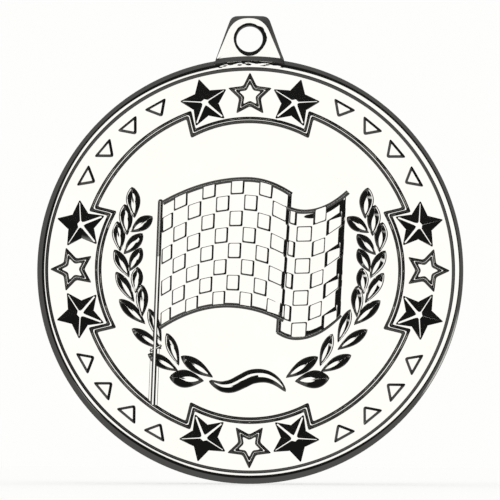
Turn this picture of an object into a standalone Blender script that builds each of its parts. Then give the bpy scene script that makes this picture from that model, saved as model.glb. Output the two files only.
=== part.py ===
"""A struck sports medal: a round disc with a chequered flag in a laurel wreath, and the pierced
lug brazed to its top edge.

World frame, in metres: +X to the right of the face, +Z up through the lug, -Y out of the face.
The origin is the centre of the disc, on the flat of its back. Every shape is drawn lying down,
as (across, up) in the plane of the face with its height above the back's flat, and the finished
object is turned up to stand on its edge.
"""
import math

import bmesh
import bpy
from mathutils import Matrix

MM = 0.001

# Disc, in millimetres. Heights are counted from the flat of the back.
DISC_RADIUS = 25.0
RIM_FRONT = 2.25
RIM_BACK = -0.25
RIM_FLAT_OUTER = 24.0
RIM_FLAT_INNER = 23.84
FIELD_RADIUS = 23.52
FIELD = 1.80
BACK_EDGE_ROUND = 0.6
BACK_RIM_INNER = 23.6
BACK_FLAT_RADIUS = 23.35
SHOULDER_ROUND = DISC_RADIUS - RIM_FLAT_OUTER
DISC_STEPS = 72

# Lug
LUG_BACK = 0.25
LUG_FRONT = 1.75
LUG_TOP = 29.98
LUG_TOP_HALF_WIDTH = 2.15
LUG_FOOT_HALF_WIDTH = 4.23
LUG_FOOT_HEIGHT = 24.75
LUG_CORNER_ROUND = 0.65
LUG_CHAMFER = 0.15
LUG_HOLE_HEIGHT = 27.3
LUG_HOLE_RADIUS = 1.56
LUG_HOLE_SIDES = 24
BRAZE_GAP = 0.05

# Heights of the relief above the field, and the depths of its roots in the metal below. Shapes
# that cross have roots at different depths.
SUNK = 0.30
CHECK_ROOT = 0.06
UPPER_POLE_ROOT = 0.40
LOWER_POLE_ROOT = 0.36
BEAD_RISE = 0.25
TRIANGLE_RISE = 0.22
STAR_OUTLINE_RISE = 0.25
STAR_PYRAMID_RISE = 0.42
LEAF_RISE = 0.30
SCROLL_RISE = 0.28
UPPER_POLE_RISE = 0.38
LOWER_POLE_RISE = 0.33
FLAG_RISE = 0.14
FOLD_RISE = 0.08
CHECK_RISE = 0.13

# Border: a bead that steps inwards round each of the four groups of stars
BEAD_WIDTH = 0.60
BEAD_RADIUS = 19.62
NOTCH_RADIUS = 17.7
NOTCH_HALF_ANGLE = 22.3
BEAD_STEP_ANGLE = 5.0

STAR_GROUP_ANGLES = (0, 90, 180, 270)
OUTLINED_STAR = {"centre": 20.65, "tip": 2.62, "waist": 1.31, "line": 0.50}
FACETED_STAR = {"centre": 20.42, "tip": 2.80, "waist": 1.57, "spread": 14.9, "flat": 0.12}

TRIANGLE_QUADRANT_ANGLES = (45, 135, 225, 315)
TRIANGLE_OFFSETS = (-15.4, -5.2, 5.2, 15.4)
TRIANGLE_BASE_RADIUS = 22.55
TRIANGLE_TIP_RADIUS = 20.78
TRIANGLE_HALF_ANGLE = 3.55

# Right-hand branch of the laurel: base (across, up), tip (across, up), width. The left mirrors it.
LEAVES = (
    ((13.40, 5.99), (13.70, 9.68), 1.46),
    ((14.26, 3.95), (14.56, 7.65), 1.38),
    ((15.12, 2.11), (15.46, 5.69), 1.35),
    ((13.88, 4.34), (11.29, 6.18), 1.40),
    ((14.71, 1.79), (12.49, 4.25), 1.30),
    ((14.02, -0.96), (15.81, 2.35), 1.25),
    ((14.07, -0.24), (12.63, 2.56), 1.25),
    ((13.44, -3.87), (15.62, -0.27), 1.20),
    ((13.29, -2.81), (13.05, 0.32), 1.25),
    ((12.53, -5.60), (12.54, -1.78), 1.25),
    ((12.13, -6.43), (15.23, -3.50), 1.30),
    ((10.27, -8.51), (11.76, -4.56), 1.10),
    ((10.23, -9.35), (13.74, -6.95), 1.20),
    ((8.20, -11.19), (9.65, -7.38), 1.15),
    ((8.30, -11.80), (11.87, -9.79), 1.25),
    ((4.26, -12.51), (8.03, -9.99), 1.35),
    ((5.34, -12.90), (9.39, -12.47), 1.85),
)
LEAF_SIDES = 8
LEAF_RINGS = 5
LEAF_SINK = 0.02
LEAF_STAGGER = 0.01

# The scroll under the flag, as its two long edges from left to right (across, up)
SCROLL_UPPER = (
    (-4.7, -12.85), (-3.0, -13.0), (-1.4, -12.2), (0.9, -11.65), (2.6, -12.2), (4.1, -13.7),
)
SCROLL_LOWER = (
    (-3.9, -13.9), (-2.3, -14.4), (-0.6, -13.8), (0.65, -13.15), (1.6, -13.05), (3.0, -13.55),
)

# Pole: centre line ends, and its thinner upper and thicker lower rod
POLE_TOP = (-10.41, 8.2)
POLE_JOINT = (-10.98, -9.2)
POLE_FOOT = (-11.24, -15.8)
POLE_UPPER_WIDTH = 0.53
POLE_LOWER_WIDTH = 1.0

# Flag: each panel has straight sides, given at its top and at its bottom, and a curved edge at
# top and bottom that is two half parabolas meeting at a crest, given as (across, up, bend to the
# left, bend to the right). Its columns end at these shares of its width, narrower by the fold.
FLAG_ROWS = 8
CHECK_MARGIN = 0.12
NEAR_PANEL = {
    "left": (-10.22, -10.43), "right": (4.97, 3.95),
    "top": (-0.3, 10.62, -0.0288, -0.0652), "bottom": (-2.6, -4.10, -0.0419, -0.0395),
    "columns": [max(0.0, 0.1095 * column - 0.02) for column in range(10)],
    "rise": FLAG_RISE + FOLD_RISE, "first_check": 1,
}
FAR_PANEL = {
    "left": (4.10, 3.20), "right": (11.30, 10.60),
    "top": (6.4, 6.89, 0.12, 0.094), "bottom": (5.4, -8.10, 0.153, 0.0996),
    "columns": (0.0, 0.08, 0.205, 0.46, 0.68, 0.93),
    "rise": FLAG_RISE, "first_check": 1,
}
PANEL_EDGE_POINTS = 9


def clear_scene():
    for obj in list(bpy.data.objects):
        bpy.data.objects.remove(obj)


def new_collection(name, hidden=False):
    collection = bpy.data.collections.new(name)
    bpy.context.scene.collection.children.link(collection)
    collection.hide_render = hidden
    return collection


def polar(radius, degrees):
    """A point in the face, at an angle counted from +across towards +up."""
    angle = math.radians(degrees)
    return radius * math.cos(angle), radius * math.sin(angle)


def as_helper(obj):
    obj.hide_render = True
    obj.display_type = "WIRE"
    return obj


def add_mesh(name, mesh, collection):
    obj = bpy.data.objects.new(name, mesh)
    collection.objects.link(obj)
    return obj


def mesh_from(name, bm):
    bmesh.ops.recalc_face_normals(bm, faces=bm.faces[:])
    mesh = bpy.data.meshes.new(name)
    bm.to_mesh(mesh)
    bm.free()
    return mesh


def outline_solid(name, outlines, low, high, collection, chamfer=0.0):
    """A flat plate between two heights. The first outline is its edge, the others are holes."""
    curve = bpy.data.curves.new(name, "CURVE")
    curve.dimensions = "2D"
    curve.fill_mode = "BOTH"
    curve.extrude = ((high - low) / 2 - chamfer) * MM
    curve.bevel_depth = chamfer * MM
    curve.bevel_resolution = 0
    curve.offset = -chamfer * MM
    for outline in outlines:
        spline = curve.splines.new("POLY")
        spline.points.add(len(outline) - 1)
        spline.use_cyclic_u = True
        for point, (across, up) in zip(spline.points, outline):
            point.co = (across * MM, up * MM, 0, 1)
    guide = bpy.data.objects.new(name + "_outline", curve)
    collection.objects.link(guide)
    guide.location.z = (low + high) / 2 * MM
    bpy.context.view_layer.update()
    graph = bpy.context.evaluated_depsgraph_get()
    mesh = bpy.data.meshes.new_from_object(guide.evaluated_get(graph))
    bm = bmesh.new()
    bm.from_mesh(mesh)
    bmesh.ops.remove_doubles(bm, verts=bm.verts[:], dist=1e-7)
    bmesh.ops.recalc_face_normals(bm, faces=bm.faces[:])
    bm.to_mesh(mesh)
    bm.free()
    mesh.name = name
    obj = add_mesh(name, mesh, collection)
    obj.matrix_world = guide.matrix_world
    bpy.data.objects.remove(guide)
    return obj


def raised(name, outlines, rise, collection, root=-SUNK):
    """A part of the relief, from its root up to its rise, both counted from the field."""
    return as_helper(outline_solid(name, outlines, FIELD + root, FIELD + rise, collection))


def star_outline(centre_radius, centre_angle, tip, waist):
    """Five points, one of them pointing away from the disc's centre."""
    across, up = polar(centre_radius, centre_angle)
    points = []
    for corner in range(10):
        x, y = polar(waist if corner % 2 else tip, centre_angle + corner * 36)
        points.append((across + x, up + y))
    return points


def shrunk_star(star):
    """The tip and waist radii of a star whose edges lie one line width inside this one's."""
    tip, waist = star["tip"], star["waist"]
    waist_point = polar(waist, 36)
    centre_to_edge = tip * waist_point[1] / math.dist((tip, 0), waist_point)
    share = (centre_to_edge - star["line"]) / centre_to_edge
    return tip * share, waist * share


def bead_path(offset):
    """The border's outline, moved out by an offset, with straight sides at each notch."""
    points = []
    for cardinal in STAR_GROUP_ANGLES:
        notch = NOTCH_RADIUS + offset
        ring = BEAD_RADIUS + offset
        ring_turn = math.degrees(offset / ring)
        notch_turn = math.degrees(offset / notch)
        first, last = cardinal - NOTCH_HALF_ANGLE, cardinal + NOTCH_HALF_ANGLE
        points.append(polar(ring, first + ring_turn))
        steps = round((last - first) / BEAD_STEP_ANGLE)
        start, end = first + notch_turn, last - notch_turn
        for step in range(steps + 1):
            points.append(polar(notch, start + (end - start) * step / steps))
        points.append(polar(ring, last - ring_turn))
        steps = round((90 - 2 * NOTCH_HALF_ANGLE) / BEAD_STEP_ANGLE)
        for step in range(1, steps):
            points.append(polar(ring, last + (90 - 2 * NOTCH_HALF_ANGLE) * step / steps))
    return points


def make_border(collection):
    outer, inner = bead_path(BEAD_WIDTH / 2), bead_path(-BEAD_WIDTH / 2)
    raised("border_bead", [outer, inner], BEAD_RISE, collection)
    for quadrant in TRIANGLE_QUADRANT_ANGLES:
        for offset in TRIANGLE_OFFSETS:
            angle = quadrant + offset
            corners = [
                polar(TRIANGLE_BASE_RADIUS, angle - TRIANGLE_HALF_ANGLE),
                polar(TRIANGLE_BASE_RADIUS, angle + TRIANGLE_HALF_ANGLE),
                polar(TRIANGLE_TIP_RADIUS, angle),
            ]
            raised("border_triangle", [corners], TRIANGLE_RISE, collection)


def make_outlined_star(angle, collection):
    star = OUTLINED_STAR
    inner_tip, inner_waist = shrunk_star(star)
    edge = star_outline(star["centre"], angle, star["tip"], star["waist"])
    opening = star_outline(star["centre"], angle, inner_tip, inner_waist)
    raised("outlined_star", [edge, opening], STAR_OUTLINE_RISE, collection)


def make_faceted_star(angle, collection):
    """A ten-sided cone whose alternate corners are drawn in, so that its sides become facets."""
    star = FACETED_STAR
    root_share = 1 + SUNK / STAR_PYRAMID_RISE
    bm = bmesh.new()
    bmesh.ops.create_cone(
        bm, cap_ends=True, segments=10, depth=(SUNK + STAR_PYRAMID_RISE) * MM,
        radius1=(star["flat"] + (star["tip"] - star["flat"]) * root_share) * MM,
        radius2=star["flat"] * MM,
    )
    base = sorted((v for v in bm.verts if v.co.z < 0), key=lambda v: math.atan2(v.co.y, v.co.x))
    for index, vertex in enumerate(base):
        if index % 2:
            vertex.co.xy *= star["waist"] / star["tip"]
    first_tip = math.degrees(math.atan2(base[0].co.y, base[0].co.x))
    obj = as_helper(add_mesh("faceted_star", mesh_from("faceted_star", bm), collection))
    across, up = polar(star["centre"], angle)
    middle = FIELD + (STAR_PYRAMID_RISE - SUNK) / 2
    obj.location = (across * MM, up * MM, middle * MM)
    obj.rotation_euler.z = math.radians(angle - first_tip)


def make_stars(collection):
    for cardinal in STAR_GROUP_ANGLES:
        make_outlined_star(cardinal, collection)
        for side in (-1, 1):
            make_faceted_star(cardinal + side * FACETED_STAR["spread"], collection)


def make_leaf(base, tip, width, rise, collection):
    """An elongated ball with its poles at the leaf's two ends, half sunk in the field."""
    length = math.dist(base, tip)
    bm = bmesh.new()
    bmesh.ops.create_uvsphere(bm, u_segments=LEAF_SIDES, v_segments=LEAF_RINGS, radius=1)
    size = (width / 2 * MM, rise * MM, length / 2 * MM)
    shape = Matrix.Rotation(math.radians(90), 4, "X") @ Matrix.Diagonal((*size, 1))
    bmesh.ops.transform(bm, matrix=shape, verts=bm.verts[:])
    obj = as_helper(add_mesh("laurel_leaf", mesh_from("laurel_leaf", bm), collection))
    middle = ((base[0] + tip[0]) / 2, (base[1] + tip[1]) / 2, FIELD - LEAF_SINK)
    obj.location = [part * MM for part in middle]
    obj.rotation_euler.z = math.atan2(tip[1] - base[1], tip[0] - base[0]) - math.pi / 2


def make_laurel(collection):
    """Both branches. Neighbouring leaves differ a little in height, so that their crests cross."""
    for order, (base, tip, width) in enumerate(LEAVES):
        rise = LEAF_RISE + LEAF_STAGGER * (order % 5)
        for side in (-1, 1):
            make_leaf((side * base[0], base[1]), (side * tip[0], tip[1]), width, rise, collection)


def arch(across, crest):
    """The height of a panel's curved edge at one place across it."""
    crest_across, crest_up, bend_left, bend_right = crest
    away = across - crest_across
    return crest_up + (bend_left if away < 0 else bend_right) * away * away


def panel_point(panel, share_across, share_down):
    """A point of the cloth, from its share of the way across and down."""
    ends = []
    for edge, crest in enumerate((panel["top"], panel["bottom"])):
        left, right = panel["left"][edge], panel["right"][edge]
        across = left + (right - left) * share_across
        ends.append((across, arch(across, crest)))
    (top_x, top_y), (bottom_x, bottom_y) = ends
    return top_x + (bottom_x - top_x) * share_down, top_y + (bottom_y - top_y) * share_down


def panel_outline(panel):
    shares = [step / (PANEL_EDGE_POINTS - 1) for step in range(PANEL_EDGE_POINTS)]
    top = [panel_point(panel, share, 0) for share in shares]
    bottom = [panel_point(panel, share, 1) for share in reversed(shares)]
    return top + bottom


def make_panel(panel, collection):
    """A sheet of cloth with every other check raised."""
    rise = panel["rise"]
    raised("flag_panel", [panel_outline(panel)], rise, collection, -SUNK - rise)
    columns, margin = panel["columns"], CHECK_MARGIN / FLAG_ROWS
    for row in range(FLAG_ROWS):
        top, bottom = row / FLAG_ROWS + margin, (row + 1) / FLAG_ROWS - margin
        for column, (start, end) in enumerate(zip(columns, columns[1:])):
            if (row + column) % 2 != panel["first_check"]:
                continue
            left = start + (end - start) * CHECK_MARGIN
            right = end - (end - start) * CHECK_MARGIN
            corners = [
                panel_point(panel, left, top), panel_point(panel, right, top),
                panel_point(panel, right, bottom), panel_point(panel, left, bottom),
            ]
            raised("flag_check", [corners], rise + CHECK_RISE, collection, rise - CHECK_ROOT)


def rod_outline(start, end, width):
    along = math.atan2(end[1] - start[1], end[0] - start[0])
    side_x, side_y = -math.sin(along) * width / 2, math.cos(along) * width / 2
    return [
        (start[0] + side_x, start[1] + side_y), (end[0] + side_x, end[1] + side_y),
        (end[0] - side_x, end[1] - side_y), (start[0] - side_x, start[1] - side_y),
    ]


def make_flag(collection):
    make_panel(FAR_PANEL, collection)
    make_panel(NEAR_PANEL, collection)
    upper = rod_outline(POLE_TOP, POLE_JOINT, POLE_UPPER_WIDTH)
    lower = rod_outline(POLE_JOINT, POLE_FOOT, POLE_LOWER_WIDTH)
    raised("pole_upper", [upper], UPPER_POLE_RISE, collection, -UPPER_POLE_ROOT)
    raised("pole_lower", [lower], LOWER_POLE_RISE, collection, -LOWER_POLE_ROOT)


def make_scroll(collection):
    raised("scroll", [list(SCROLL_UPPER) + list(reversed(SCROLL_LOWER))], SCROLL_RISE, collection)


def arc(centre, radius, first, last, steps):
    """Points on a circle, from one angle to another."""
    points = []
    for step in range(steps + 1):
        x, y = polar(radius, first + (last - first) * step / steps)
        points.append((centre[0] + x, centre[1] + y))
    return points


def disc_profile():
    """Half of the disc's cross-section, from the axis on the face, round the edge, to the back."""
    front_round = arc((RIM_FLAT_OUTER, RIM_FRONT - SHOULDER_ROUND), SHOULDER_ROUND, 90, 0, 4)
    back_centre = (DISC_RADIUS - BACK_EDGE_ROUND, RIM_BACK + BACK_EDGE_ROUND)
    back_round = arc(back_centre, BACK_EDGE_ROUND, 0, -90, 3)
    face = [(0, FIELD), (FIELD_RADIUS, FIELD), (RIM_FLAT_INNER, RIM_FRONT)]
    back = [(BACK_RIM_INNER, RIM_BACK), (BACK_FLAT_RADIUS, 0), (0, 0)]
    return face + front_round + back_round + back


def make_blank(collection):
    """The disc before striking: its profile turned about the axis."""
    bm = bmesh.new()
    points = [bm.verts.new((radius * MM, 0, height * MM)) for radius, height in disc_profile()]
    for first, second in zip(points, points[1:]):
        bm.edges.new((first, second))
    mesh = bpy.data.meshes.new("medal_disc")
    bm.to_mesh(mesh)
    bm.free()
    disc = add_mesh("medal_disc", mesh, collection)
    turn = disc.modifiers.new("turn", "SCREW")
    turn.axis = "Z"
    turn.steps = turn.render_steps = DISC_STEPS
    turn.use_merge_vertices = True
    turn.merge_threshold = 1e-6
    turn.use_smooth_shade = False
    return disc


def lug_outline():
    """A trapezium with rounded top corners, and a foot that follows the disc's edge."""
    foot_radius = DISC_RADIUS + BRAZE_GAP
    rise, run = LUG_TOP - LUG_FOOT_HEIGHT, LUG_FOOT_HALF_WIDTH - LUG_TOP_HALF_WIDTH
    slope = math.degrees(math.atan2(run, rise))
    setback = LUG_CORNER_ROUND * math.tan(math.radians((90 - slope) / 2))
    corner = (LUG_TOP_HALF_WIDTH - setback, LUG_TOP - LUG_CORNER_ROUND)
    right_corner = arc(corner, LUG_CORNER_ROUND, slope, 90, 4)
    left_corner = [(-across, up) for across, up in reversed(right_corner)]
    half_angle = math.degrees(math.asin(LUG_FOOT_HALF_WIDTH / foot_radius))
    foot = arc((0, 0), foot_radius, 90 + half_angle, 90 - half_angle, 8)
    return right_corner + left_corner + foot


def make_lug(collection):
    side = 360 / LUG_HOLE_SIDES
    hole = arc((0, LUG_HOLE_HEIGHT), LUG_HOLE_RADIUS, 0, 360 - side, LUG_HOLE_SIDES - 1)
    outlines = [lug_outline(), hole]
    return outline_solid("suspension_lug", outlines, LUG_BACK, LUG_FRONT, collection, LUG_CHAMFER)


def stand_up(obj):
    """Turns the lying object so that its face looks along -Y and its lug points up."""
    obj.matrix_world = Matrix.Rotation(math.radians(90), 4, "X") @ obj.matrix_world


def polished_nickel(name, roughness):
    material = bpy.data.materials.new(name)
    material.use_nodes = True
    shader = material.node_tree.nodes["Principled BSDF"]
    shader.inputs["Base Color"].default_value = (0.84, 0.83, 0.80, 1)
    shader.inputs["Metallic"].default_value = 1.0
    shader.inputs["Roughness"].default_value = roughness
    return material


def strike(disc, relief):
    """Joins the relief to the disc, so that they are one piece of metal."""
    union = disc.modifiers.new("strike", "BOOLEAN")
    union.operation = "UNION"
    union.operand_type = "COLLECTION"
    union.collection = relief
    union.solver = "EXACT"
    union.use_self = True


def main():
    clear_scene()
    medal = new_collection("sports_medal")
    relief = new_collection("struck_relief", hidden=True)
    disc = make_blank(medal)
    make_border(relief)
    make_stars(relief)
    make_laurel(relief)
    make_scroll(relief)
    make_flag(relief)
    lug = make_lug(medal)
    strike(disc, relief)
    disc.data.materials.append(polished_nickel("disc_nickel", 0.12))
    lug.data.materials.append(polished_nickel("lug_nickel", 0.16))
    for obj in list(relief.objects) + [disc, lug]:
        stand_up(obj)


main()
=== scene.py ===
"""The looks of the struck sports medal: a bright nickel disc with a raised rim, a border of stars
and triangles, and a chequered flag in a laurel wreath, hung from a pierced lug.

Every shape is drawn lying down, as (across, up) in the plane of the face with a height above the
flat of the back, all in millimetres, and stand() turns it up into the frame's metres.
"""
import math

import bmesh
import bpy
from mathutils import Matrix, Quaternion, Vector, noise


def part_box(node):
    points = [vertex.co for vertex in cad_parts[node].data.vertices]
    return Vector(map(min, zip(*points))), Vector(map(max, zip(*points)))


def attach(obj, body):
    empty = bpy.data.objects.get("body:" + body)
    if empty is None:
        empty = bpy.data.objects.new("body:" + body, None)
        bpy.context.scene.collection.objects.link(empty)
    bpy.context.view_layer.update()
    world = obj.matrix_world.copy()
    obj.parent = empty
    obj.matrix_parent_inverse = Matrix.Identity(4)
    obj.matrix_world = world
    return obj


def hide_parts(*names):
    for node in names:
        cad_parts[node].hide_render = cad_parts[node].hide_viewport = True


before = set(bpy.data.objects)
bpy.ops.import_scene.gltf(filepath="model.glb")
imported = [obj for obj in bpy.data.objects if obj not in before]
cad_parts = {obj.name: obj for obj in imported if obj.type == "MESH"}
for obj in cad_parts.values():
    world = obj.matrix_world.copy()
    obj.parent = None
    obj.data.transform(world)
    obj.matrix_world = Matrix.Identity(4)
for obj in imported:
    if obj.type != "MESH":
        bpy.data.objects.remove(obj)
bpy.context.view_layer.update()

# The frame's own sizes. The CAD disc is 50 mm across, which sets the unit of every size below.
DISC_LOW, DISC_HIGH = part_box("medal_disc")
LUG_LOW, LUG_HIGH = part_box("suspension_lug")
MM = (DISC_HIGH.x - DISC_LOW.x) / 50
DISC_RADIUS = (DISC_HIGH.x - DISC_LOW.x) / 2 / MM
RIM_FRONT = -DISC_LOW.y / MM
RIM_BACK = -DISC_HIGH.y / MM
LUG_FRONT = -LUG_LOW.y / MM
LUG_BACK = -LUG_HIGH.y / MM
LUG_TOP = LUG_HIGH.z / MM

# Sizes are in millimetres, tilts in rise over run, and directions in degrees anticlockwise from
# the right. The relief stands on the field and is rooted below it. A foot is its lowest edge.
FIELD = RIM_FRONT - 0.45
ROOT_DEPTH = 0.35
ROOT = FIELD - ROOT_DEPTH
FOOT = -0.01
# The struck face is a touch wider than tall, along a slightly leaning axis.
FACE_STRETCH = 0.0041
STRETCH_LEAN = 0.45
# A raised line's flanks have one tilt, and ease into the crest from a share of the way up.
FLANK_TILT = 0.80
FLANK_EASE = (0.85, 0.88)
MITRE_LIMIT = 0.22
CORNER_LIMIT = 0.45

# Disc: its rim steps up from the field to a flat crown, which rounds over a shoulder to the edge.
# The slopes where the crown and the shoulder end are in degrees.
DISC_SECTIONS = 720
FIELD_RINGS = (11.0, 19.0)
RIM_STEP_FOOT = 23.52
RIM_STEP_TOP = 23.86
RIM_STEP_ROUNDNESS = 0.15
CROWN_EDGE = 24.12
CROWN_DEGREES = 4
SHOULDER = 24.42
SHOULDER_DEGREES = 34
# Where the crown reaches further out or less far: (shift, direction, half width of the change)
CROWN_SHIFTS = (
    (0.30, 2, 50), (0.18, 50, 42), (0.20, 90, 14), (0.07, 135, 25),
    (-0.10, 175, 50), (-0.08, 240, 22), (0.13, 320, 25),
)
# Under the lug the crown is dented by tools: not at all and in full at these angles from the top
TOOL_MARK_DEPTH = 0.09
TOOL_MARK_RADIUS = CROWN_EDGE + 0.10
TOOL_MARK_HALF_WIDTH = 0.30
TOOL_MARK_ANGLES = (10, 20 / 3)
TOOL_MARKS_PER_DEGREE = 1.9
TOOL_MARKS_PER_MM = 5
BACK_ROUND = 0.65
# From the back's rim into its recess: (radius, height)
BACK_PROFILE = (
    (23.75, RIM_BACK), (23.68, RIM_BACK + 0.01), (23.45, -0.01), (23.38, 0.0), (12.0, 0.0),
)

# Border
BEAD_RADIUS = 19.62
NOTCH_RADIUS = 17.70
NOTCH_CORNER_RADIUS = 17.40
NOTCH_HALF_ANGLE = 22.35
NOTCH_MOUTH = 21.35
BEAD_HALF_WIDTH = 0.40
BEAD_CREST = 0.08
BEAD_RISE = 0.25
BEAD_ROUNDING = 0.26
CARDINALS = (0, 90, 180, 270)

OUTLINED_CENTRE = 20.65
OUTLINED_TIP = 2.74
OUTLINED_WAIST = 1.34
# The line's inner foot, the edges of its crest and its outer foot, as offsets from the outline
OUTLINED_LINE = (-0.60, -0.38, -0.31, 0.0)

FACETED_CENTRE = 20.42
FACETED_TIP = 2.88
FACETED_WAIST = 1.60
FACETED_SPREAD = 14.9
FACETED_RISE = 0.36
FACETED_HUB = 0.56
FACETED_OUTWARD_HUB = 0.7
FACETED_VALLEY = 0.62
FACETED_BLUNTNESS = 0.07
FACETED_RIDGE_END = 0.90
FACETED_RIDGE_TAPER = 0.6
# The ridges, from the outward arm's to the inward arms': (half width, tip's share of the rise)
FACETED_RIDGES = ((0.005, 0.12), (0.06, 0.78), (0.14, 0.86))

TRIANGLE_OFFSETS = (-15.4, -5.2, 5.2, 15.4)
TRIANGLE_BASE_RADIUS = 22.59
TRIANGLE_TIP_RADIUS = 20.70
TRIANGLE_HALF_ANGLE = 3.85
TRIANGLE_RISE = 0.25
TRIANGLE_BEVEL = 0.31
TRIANGLE_ROUNDING = 0.40

# Right-hand branch of the laurel: base (across, up), tip (across, up), width. The left mirrors it.
LEAVES = (
    ((13.45, 6.05), (13.76, 9.76), 1.46),
    ((14.31, 4.01), (14.61, 7.72), 1.38),
    ((15.12, 2.11), (15.46, 5.69), 1.35),
    ((13.92, 4.40), (11.33, 6.25), 1.40),
    ((14.71, 1.79), (12.49, 4.25), 1.30),
    ((14.02, -0.96), (15.81, 2.35), 1.25),
    ((14.07, -0.24), (12.63, 2.56), 1.25),
    ((13.44, -3.87), (15.62, -0.27), 1.20),
    ((13.29, -2.81), (13.05, 0.32), 1.25),
    ((12.53, -5.60), (12.54, -1.78), 1.25),
    ((12.13, -6.43), (15.23, -3.50), 1.30),
    ((10.27, -8.51), (11.76, -4.56), 1.10),
    ((10.23, -9.35), (13.74, -6.95), 1.20),
    ((8.20, -11.30), (9.65, -7.46), 1.15),
    ((8.28, -11.94), (11.85, -9.93), 1.25),
    ((4.22, -12.66), (7.99, -10.16), 1.35),
    ((5.28, -13.06), (9.33, -12.64), 1.85),
)
# Swells, as swell() reads them: how far the widest place leans to the end, and the ends' bluntness
LEAF_SWELL = (1.25, 0.75)
LEAF_FULLNESS = 0.56
BLUNT_END = 0.03
# A leaf's crest: where it starts and ends along the leaf, where it has narrowed to a ridge
LEAF_CREST = (0.15, 0.94)
LEAF_SLIT_END = 0.68
LEAF_SLIT_SWELL = (1, 0.8)
LEAF_SLIT_FULLNESS = 0.16
# Neighbouring leaves lie at slightly different heights.
LEAF_LIFT = 0.01
# Leaves and scroll rise by a wall, a skirt as steep as a flank, and a body sloping to the crest.
# Upright leaves have a ledge over the skirt: none and a full one at these sines of direction.
# Limits are the most that a step may take of the way to the crest.
SKIRT = 0.12
SKIRT_LIMIT = 0.35
SKIRT_FOOT = 0.06
BODY_TILT = 0.40
LEDGE = 0.09
LEDGE_LIMIT = 0.55
LEDGE_LEAST = 0.2
LEDGE_SINES = (0.75, 0.90)
LEDGE_MOST_INWARD = -0.3

# The scroll under the flag: its middle line from left to right, and its widest half width
SCROLL_LINE = (
    (-4.71, -13.03), (-3.67, -13.56), (-2.92, -13.74), (-1.98, -13.63), (-0.77, -13.05),
    (0.14, -12.60), (1.10, -12.44), (1.98, -12.52), (2.80, -12.86), (3.54, -13.44), (4.26, -14.28),
)
SCROLL_HALF_WIDTH = 0.84
SCROLL_SWELL = (0.9, 0.6)
# Its crest: where it starts and ends, its half width and its offset to the right
SCROLL_CREST = (0.05, 0.95, 0.24, -0.08)
SCROLL_CREST_SWELL = (1, 0.6)

# Pole: rods are (width, rise, half width of the crest). Its upper length is a higher ridge, and
# its lower length lies on a flat strip, which starts at a small tilted collar.
POLE_TOP = (-10.41, 8.3)
POLE_FOOT = (-11.24, -15.9)
POLE_ROD = (0.58, 0.40, 0.085)
RIDGE_ROD = (0.60, 0.44, 0.02)
RIDGE_END = 0.28
STRIP = (-0.54, -0.48, 0.48, 0.54, 0.06)
COLLAR_ROD = (0.34, 0.36, 0.03)
COLLAR_PLACE = 0.725
COLLAR_ENDS = ((-0.60, -0.40), (0.78, 0.34))
ROD_TIP_WIDTH = 0.12

# Flag panels: sides at top and bottom, and edges as two half parabolas meeting at a crest, given
# as (across, up, bend to the left, bend to the right). Columns and shares are places across the
# panel, from 0 to 1. A column's flanks are its checks' left, right, bottom and top flank widths,
# how much wider the top one gets to the right, and how far the right-hand side droops. Hems are
# (edge, height of its foot, where it starts).
FLAG_ROWS = 8
HEM_WIDTH = 0.58
HEM_OUTSIDE = -0.14
HEM_RISE = 0.23
CHECK_RISE = 0.13
CHECK_MARGIN = 0.012
CHECK_ROUNDING = 0.16
CHECK_EASE = (0.88, 0.90)
CHECK_ROOT = -0.08
CHECK_FOOT = -0.004
CHECK_MOST_DROP = 0.04
CLOTH_SHARES = [step / 50 for step in range(44)] + [0.88 + 0.004 * step for step in range(31)]
NEAR_PANEL = {
    "left": (-10.22, -10.43), "right": (4.97, 3.95), "rise": 0.15, "first_column": 0,
    "top": (-0.3, 10.80, -0.0288, -0.0652), "bottom": (-2.6, -4.32, -0.0430, -0.0395),
    "shares": CLOTH_SHARES + [1.01],
    "columns": [max(0.0, 0.1095 * column - 0.02) for column in range(10)],
    "flanks": [(0.16, 0.22, 0.18, 0.10, 0.0, 0.0)] * 8 + [(0.16, 0.02, 0.18, 0.10, 0.0, 0.10)],
    "hems": (("top", 0.18, 0), ("bottom", 0.18, 0)),
}
FAR_PANEL = {
    "left": (4.10, 3.20), "right": (11.38, 10.68), "rise": 0.02, "first_column": 1,
    "top": (6.4, 6.99, 0.12, 0.094), "bottom": (5.4, -8.10, 0.153, 0.0996),
    "shares": CLOTH_SHARES,
    "columns": (0.0, 0.08, 0.205, 0.46, 0.68, 0.93),
    "flanks": (
        (0.15, 0.15, 0.15, 0.10, 0.0, 0.0), (0.13, 0.26, 0.19, 0.08, 0.0, 0.0),
        (0.15, 0.15, 0.16, 0.12, 0.0, 0.0), (0.25, 0.12, 0.18, 0.08, 0.0, 0.0),
        (0.34, 0.05, 0.16, 0.14, 0.50, 0.08),
    ),
    "hems": (("top", 0.07, 0), ("bottom", 0.07, 0), ("left", 0.05, 0.84)),
}
# Where the near panel turns under: its top row, its rows that end in a check, its other rows
NEAR_TOP_FOLD = (0.968, 0.998)
NEAR_CHECK_FOLD = (NEAR_PANEL["columns"][-1], 0.9905)
NEAR_PLAIN_FOLD = (0.976, 1.0)
NEAR_UNDER = 0.01
NEAR_DOME = (0.45, 0.95)
NEAR_DOME_RISE = 0.11
NEAR_DIP = (0.16, 0.03)
# The far panel rises up to a share and falls at its right-hand edge, given as (start, height at
# the end) for rows without and with a check there, before it turns under.
FAR_RISE_END = 0.6
FAR_CREST = 0.27
FAR_FALLS = ((0.885, 0.07), (FAR_PANEL["columns"][-1], 0.12))
FAR_FALL_END = 0.966
FAR_FOLD = (0.970, 1.0)
FAR_UNDER = -0.08
FAR_DIP = (0.052, 0.028)
FAR_DIP_HEIGHT = 0.09

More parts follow.
